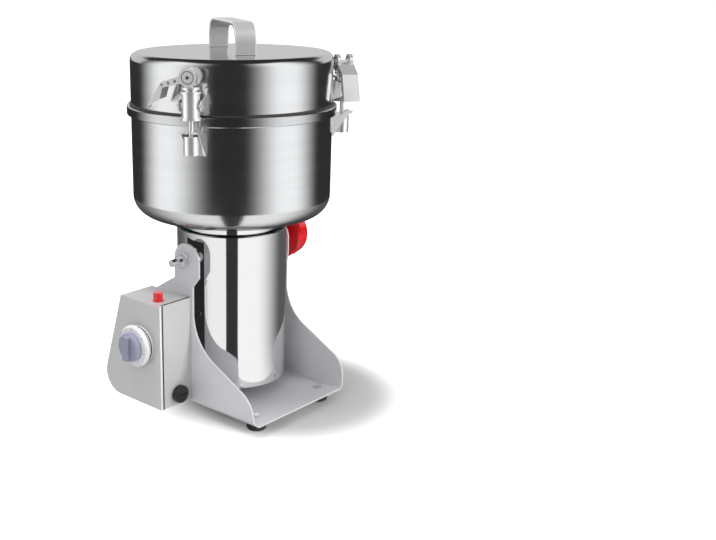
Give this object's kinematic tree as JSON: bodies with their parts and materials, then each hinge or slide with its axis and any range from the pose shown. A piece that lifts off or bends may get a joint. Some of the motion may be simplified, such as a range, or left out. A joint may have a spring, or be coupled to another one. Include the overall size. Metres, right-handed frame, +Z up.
{
  "type": "electric grain mill",
  "caption": "Tilting electric grain mill: clamped steel bowl with blades on a motor tube, pivoted in a grey stand with a timer box, lock knob and feet.",
  "frame": {"origin": "on the floor under the common axis of bowl, motor and rotor, in the plane of the feet's undersides", "axes": "+Z up along the motor's axis, -Y toward the stand's open front where the bowl tips, -X toward the control box, X along the tilt axis"},
  "size_m": [0.2616, 0.2509, 0.431],
  "materials": {
    "grey_paint": "satin grey powder paint",
    "black_rubber": "matt black rubber",
    "white_silicone": "white silicone rubber",
    "bright_fasteners": "bright zinc plating",
    "white_nylon": "natural nylon",
    "brushed_box_steel": "vertically brushed stainless steel",
    "brushed_bowl_steel": "finely turned dark stainless steel",
    "handle_steel": "satin stainless strap",
    "mirror_steel": "mirror polished stainless steel",
    "clamp_chrome": "bright chrome plating",
    "black_plastic": "matt black plastic",
    "cream_plastic": "cream insulating plastic",
    "red_lens": "clear red plastic",
    "red_plastic": "glossy red plastic",
    "blue_grey_plastic": "translucent blue-grey plastic",
    "silver_dial": "silver-white plastic",
    "shaft_steel": "ground steel",
    "black_casting": "black painted aluminium casting",
    "grey_casting": "bare aluminium casting",
    "core_iron": "varnished iron sheets",
    "copper": "varnished copper",
    "brass": "plain brass"
  },
  "bodies": {
    "base": {"stand_bracket": "grey_paint", "rubber_feet": "black_rubber", "foot_screws": "bright_fasteners", "pivot_bushes": "white_nylon", "box_shell": "brushed_box_steel", "box_screws": "bright_fasteners", "timer_body": "black_plastic", "timer_bezel": "clamp_chrome", "lamp_lens": "red_lens", "lamp_body": "black_plastic", "fuse_holder": "black_plastic", "cable_gland": "black_plastic", "terminal_block": "cream_plastic"},
    "timer": {"timer_spindle": "shaft_steel", "timer_dial": "silver_dial", "timer_knob": "blue_grey_plastic"},
    "fuse": {"fuse_cap": "black_plastic"},
    "motor_unit": {"motor_tube": "mirror_steel", "pivot_bosses": "mirror_steel", "pivot_stud": "bright_fasteners", "pivot_nut": "bright_fasteners", "upper_end_frame": "black_casting", "lower_end_frame": "grey_casting", "vent_cover": "black_plastic", "stator_core": "core_iron", "field_coils": "copper", "brush_holders": "brass", "bearings": "shaft_steel", "bowl_collar": "mirror_steel", "bowl": "brushed_bowl_steel", "bowl_screws": "bright_fasteners", "shaft_seal": "black_rubber", "clamp_catches": "clamp_chrome", "lid": "brushed_bowl_steel", "lid_gasket": "white_silicone", "lid_handle": "handle_steel", "clamp_brackets": "clamp_chrome"},
    "lock": {"lock_knob": "red_plastic", "lock_stud": "bright_fasteners"},
    "rotor": {"motor_shaft": "shaft_steel", "armature_core": "core_iron", "armature_winding": "copper", "commutator": "copper", "cooling_fan": "black_plastic", "lower_blade": "shaft_steel", "blade_spacers": "shaft_steel", "upper_blade": "shaft_steel", "blade_nut": "bright_fasteners"},
    "clamp_1": {"clamp_barrel_1": "clamp_chrome", "clamp_rod_1": "clamp_chrome", "lever_pin_1": "clamp_chrome"},
    "lever_1": {"clamp_lever_1": "clamp_chrome"},
    "clamp_2": {"clamp_barrel_2": "clamp_chrome", "clamp_rod_2": "clamp_chrome", "lever_pin_2": "clamp_chrome"},
    "lever_2": {"clamp_lever_2": "clamp_chrome"},
    "clamp_3": {"clamp_barrel_3": "clamp_chrome", "clamp_rod_3": "clamp_chrome", "lever_pin_3": "clamp_chrome"},
    "lever_3": {"clamp_lever_3": "clamp_chrome"}
  },
  "joints": [
    {"name": "motor_tilt", "type": "hinge", "parent": "base", "child": "motor_unit", "pos_m": [0, 0, 0.179], "axis": [1, 0, 0], "range_deg": [0, 90]},
    {"name": "rotor_spin", "type": "hinge", "parent": "motor_unit", "child": "rotor", "pos_m": [0, 0, 0.2], "axis": [0, 0, 1], "continuous": true},
    {"name": "lock_turn", "type": "hinge", "parent": "motor_unit", "child": "lock", "pos_m": [0.1, 0, 0.179], "axis": [1, 0, 0], "range_deg": [0, 180]},
    {"name": "timer_turn", "type": "hinge", "parent": "base", "child": "timer", "pos_m": [-0.125, 0.0235, 0.088], "axis": [1, 0, 0], "range_deg": [0, 300]},
    {"name": "fuse_turn", "type": "hinge", "parent": "base", "child": "fuse", "pos_m": [-0.0955, -0.015, 0.031], "axis": [0, -1, 0], "range_deg": [0, 90]},
    {"name": "clamp_swing_1", "type": "hinge", "parent": "motor_unit", "child": "clamp_1", "pos_m": [-0.11429, -0.05305, 0.3555], "axis": [-0.421, 0.907, 0], "range_deg": [0, 10]},
    {"name": "lever_lift_1", "type": "hinge", "parent": "clamp_1", "child": "lever_1", "pos_m": [-0.11429, -0.05305, 0.3833], "axis": [0.907, 0.421, 0], "range_deg": [0, 110]},
    {"name": "clamp_swing_2", "type": "hinge", "parent": "motor_unit", "child": "clamp_2", "pos_m": [0.10309, -0.07245, 0.3555], "axis": [-0.575, -0.8181, 0], "range_deg": [0, 10]},
    {"name": "lever_lift_2", "type": "hinge", "parent": "clamp_2", "child": "lever_2", "pos_m": [0.10309, -0.07245, 0.3833], "axis": [-0.8181, 0.575, 0], "range_deg": [0, 110]},
    {"name": "clamp_swing_3", "type": "hinge", "parent": "motor_unit", "child": "clamp_3", "pos_m": [0.0112, 0.1255, 0.3555], "axis": [0.996, -0.0889, 0], "range_deg": [0, 10]},
    {"name": "lever_lift_3", "type": "hinge", "parent": "clamp_3", "child": "lever_3", "pos_m": [0.0112, 0.1255, 0.3833], "axis": [-0.0889, -0.996, 0], "range_deg": [0, 110]}
  ]
}
